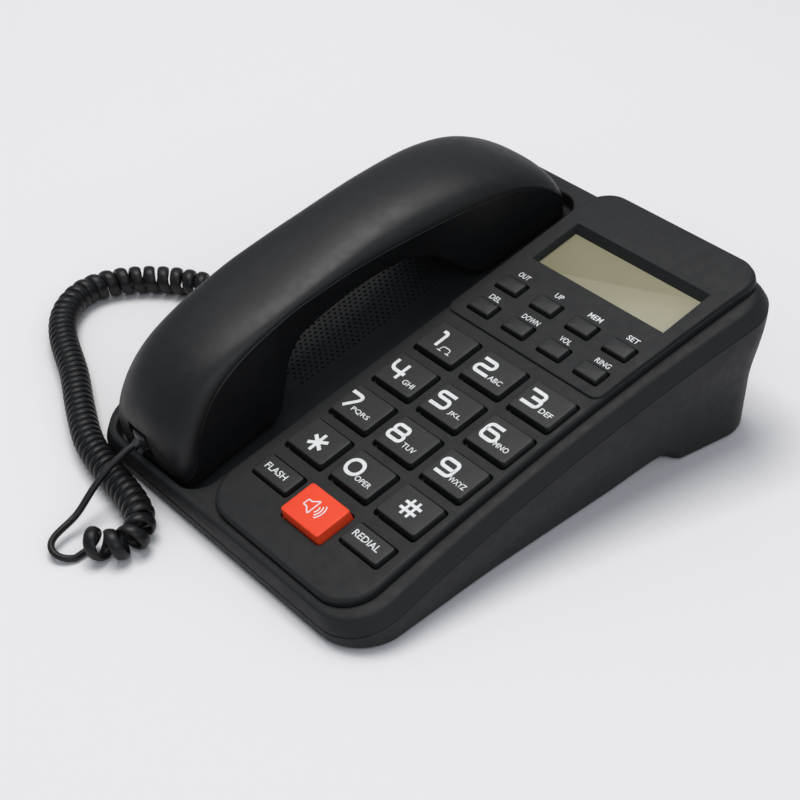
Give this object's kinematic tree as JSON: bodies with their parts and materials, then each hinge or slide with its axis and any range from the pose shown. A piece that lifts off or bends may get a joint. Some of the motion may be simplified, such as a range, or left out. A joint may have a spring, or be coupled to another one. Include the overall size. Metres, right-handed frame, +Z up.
{
  "type": "corded desk telephone",
  "caption": "Wedge shaped desk telephone with a long handset in a side cradle, a keypad, a small display panel and a coiled cord that lies round the left side.",
  "frame": {"origin": "on the table under the middle of the base, at the underside of the rubber feet", "axes": "+X to the right as the user faces the keys, +Y from the front edge to the raised rear edge, +Z up"},
  "size_m": [0.2596, 0.2499, 0.0842],
  "materials": {
    "case_plastic": "fine even texture, satin black",
    "key_plastic": "satin black with white printed characters",
    "speaker_key_plastic": "satin orange red with a pale printed sign",
    "display_window": "clear, slightly warm",
    "display_glass": "unlit liquid crystal display, olive grey",
    "circuit_board": "green solder mask",
    "grey_rubber": "matt silicone rubber",
    "black_rubber": "matt black rubber",
    "speaker_cone": "coated paper cone in a dark frame",
    "steel": "zinc plated",
    "aluminium_can": "plain metal can",
    "black_plastic": "black, smooth",
    "plug_plastic": "smooth smoky black",
    "cord_sheath": "soft black sheath, satin"
  },
  "bodies": {
    "base": {"bottom_case": "case_plastic", "top_case": "case_plastic", "display_bezel": "case_plastic", "lcd_window": "display_window", "lcd_module": "display_glass", "keypad_board": "circuit_board", "main_board": "circuit_board", "keypad_mat": "grey_rubber", "display_key_mat": "grey_rubber", "loudspeaker": "speaker_cone", "speaker_retainer": "steel", "speakerphone_microphone": "aluminium_can", "hook_spring": "steel", "hook_switch": "black_plastic", "line_jack": "black_plastic", "handset_cord_jack": "black_plastic", "base_plug": "plug_plastic", "base_lead": "cord_sheath", "coil_cord": "cord_sheath", "handset_lead": "cord_sheath", "rubber_feet": "black_rubber", "case_screws": "steel", "board_screws": "steel"},
    "handset": {"handset_outer_shell": "case_plastic", "handset_inner_shell": "case_plastic", "handset_receiver": "aluminium_can", "handset_microphone": "aluminium_can", "handset_weight": "steel", "handset_screws": "steel", "handset_jack": "black_plastic", "handset_plug": "plug_plastic"},
    "hook": {"hook_plunger": "case_plastic"},
    "key_1_button": {"key_1": "key_plastic"},
    "key_2_button": {"key_2": "key_plastic"},
    "key_3_button": {"key_3": "key_plastic"},
    "key_4_button": {"key_4": "key_plastic"},
    "key_5_button": {"key_5": "key_plastic"},
    "key_6_button": {"key_6": "key_plastic"},
    "key_7_button": {"key_7": "key_plastic"},
    "key_8_button": {"key_8": "key_plastic"},
    "key_9_button": {"key_9": "key_plastic"},
    "key_star_button": {"key_star": "key_plastic"},
    "key_0_button": {"key_0": "key_plastic"},
    "key_hash_button": {"key_hash": "key_plastic"},
    "key_flash_button": {"key_flash": "key_plastic"},
    "key_speaker_button": {"key_speaker": "speaker_key_plastic"},
    "key_redial_button": {"key_redial": "key_plastic"},
    "key_out_button": {"key_out": "key_plastic"},
    "key_up_button": {"key_up": "key_plastic"},
    "key_memory_button": {"key_memory": "key_plastic"},
    "key_set_button": {"key_set": "key_plastic"},
    "key_delete_button": {"key_delete": "key_plastic"},
    "key_down_button": {"key_down": "key_plastic"},
    "key_volume_button": {"key_volume": "key_plastic"},
    "key_ring_button": {"key_ring": "key_plastic"}
  },
  "joints": [
    {"name": "handset_lift", "type": "slide", "parent": "base", "child": "handset", "axis": [0, -0.2419, 0.9703], "range_m": [0, 0.09]},
    {"name": "hook_rise", "type": "slide", "parent": "base", "child": "hook", "axis": [0, 0, 1], "range_m": [0, 0.004], "deforming": ["hook_spring"]},
    {"name": "press_key_1", "type": "slide", "parent": "base", "child": "key_1_button", "axis": [0, -0.2419, 0.9703], "range_m": [-0.001, 0], "stiffness_N_per_m": 300, "springref_m": 0.001},
    {"name": "press_key_2", "type": "slide", "parent": "base", "child": "key_2_button", "axis": [0, -0.2419, 0.9703], "range_m": [-0.001, 0], "stiffness_N_per_m": 300, "springref_m": 0.001},
    {"name": "press_key_3", "type": "slide", "parent": "base", "child": "key_3_button", "axis": [0, -0.2419, 0.9703], "range_m": [-0.001, 0], "stiffness_N_per_m": 300, "springref_m": 0.001},
    {"name": "press_key_4", "type": "slide", "parent": "base", "child": "key_4_button", "axis": [0, -0.2419, 0.9703], "range_m": [-0.001, 0], "stiffness_N_per_m": 300, "springref_m": 0.001},
    {"name": "press_key_5", "type": "slide", "parent": "base", "child": "key_5_button", "axis": [0, -0.2419, 0.9703], "range_m": [-0.001, 0], "stiffness_N_per_m": 300, "springref_m": 0.001},
    {"name": "press_key_6", "type": "slide", "parent": "base", "child": "key_6_button", "axis": [0, -0.2419, 0.9703], "range_m": [-0.001, 0], "stiffness_N_per_m": 300, "springref_m": 0.001},
    {"name": "press_key_7", "type": "slide", "parent": "base", "child": "key_7_button", "axis": [0, -0.2419, 0.9703], "range_m": [-0.001, 0], "stiffness_N_per_m": 300, "springref_m": 0.001},
    {"name": "press_key_8", "type": "slide", "parent": "base", "child": "key_8_button", "axis": [0, -0.2419, 0.9703], "range_m": [-0.001, 0], "stiffness_N_per_m": 300, "springref_m": 0.001},
    {"name": "press_key_9", "type": "slide", "parent": "base", "child": "key_9_button", "axis": [0, -0.2419, 0.9703], "range_m": [-0.001, 0], "stiffness_N_per_m": 300, "springref_m": 0.001},
    {"name": "press_key_star", "type": "slide", "parent": "base", "child": "key_star_button", "axis": [0, -0.2419, 0.9703], "range_m": [-0.001, 0], "stiffness_N_per_m": 300, "springref_m": 0.001},
    {"name": "press_key_0", "type": "slide", "parent": "base", "child": "key_0_button", "axis": [0, -0.2419, 0.9703], "range_m": [-0.001, 0], "stiffness_N_per_m": 300, "springref_m": 0.001},
    {"name": "press_key_hash", "type": "slide", "parent": "base", "child": "key_hash_button", "axis": [0, -0.2419, 0.9703], "range_m": [-0.001, 0], "stiffness_N_per_m": 300, "springref_m": 0.001},
    {"name": "press_key_flash", "type": "slide", "parent": "base", "child": "key_flash_button", "axis": [0, -0.2419, 0.9703], "range_m": [-0.001, 0], "stiffness_N_per_m": 300, "springref_m": 0.001},
    {"name": "press_key_speaker", "type": "slide", "parent": "base", "child": "key_speaker_button", "axis": [0, -0.2419, 0.9703], "range_m": [-0.001, 0], "stiffness_N_per_m": 300, "springref_m": 0.001},
    {"name": "press_key_redial", "type": "slide", "parent": "base", "child": "key_redial_button", "axis": [0, -0.2419, 0.9703], "range_m": [-0.001, 0], "stiffness_N_per_m": 300, "springref_m": 0.001},
    {"name": "press_key_out", "type": "slide", "parent": "base", "child": "key_out_button", "axis": [0, -0.2419, 0.9703], "range_m": [-0.001, 0], "stiffness_N_per_m": 300, "springref_m": 0.001},
    {"name": "press_key_up", "type": "slide", "parent": "base", "child": "key_up_button", "axis": [0, -0.2419, 0.9703], "range_m": [-0.001, 0], "stiffness_N_per_m": 300, "springref_m": 0.001},
    {"name": "press_key_memory", "type": "slide", "parent": "base", "child": "key_memory_button", "axis": [0, -0.2419, 0.9703], "range_m": [-0.001, 0], "stiffness_N_per_m": 300, "springref_m": 0.001},
    {"name": "press_key_set", "type": "slide", "parent": "base", "child": "key_set_button", "axis": [0, -0.2419, 0.9703], "range_m": [-0.001, 0], "stiffness_N_per_m": 300, "springref_m": 0.001},
    {"name": "press_key_delete", "type": "slide", "parent": "base", "child": "key_delete_button", "axis": [0, -0.2419, 0.9703], "range_m": [-0.001, 0], "stiffness_N_per_m": 300, "springref_m": 0.001},
    {"name": "press_key_down", "type": "slide", "parent": "base", "child": "key_down_button", "axis": [0, -0.2419, 0.9703], "range_m": [-0.001, 0], "stiffness_N_per_m": 300, "springref_m": 0.001},
    {"name": "press_key_volume", "type": "slide", "parent": "base", "child": "key_volume_button", "axis": [0, -0.2419, 0.9703], "range_m": [-0.001, 0], "stiffness_N_per_m": 300, "springref_m": 0.001},
    {"name": "press_key_ring", "type": "slide", "parent": "base", "child": "key_ring_button", "axis": [0, -0.2419, 0.9703], "range_m": [-0.001, 0], "stiffness_N_per_m": 300, "springref_m": 0.001}
  ],
  "couplings": [
    {"joint": "hook_rise", "follows": "handset_lift", "ratio": 0.04444}
  ]
}
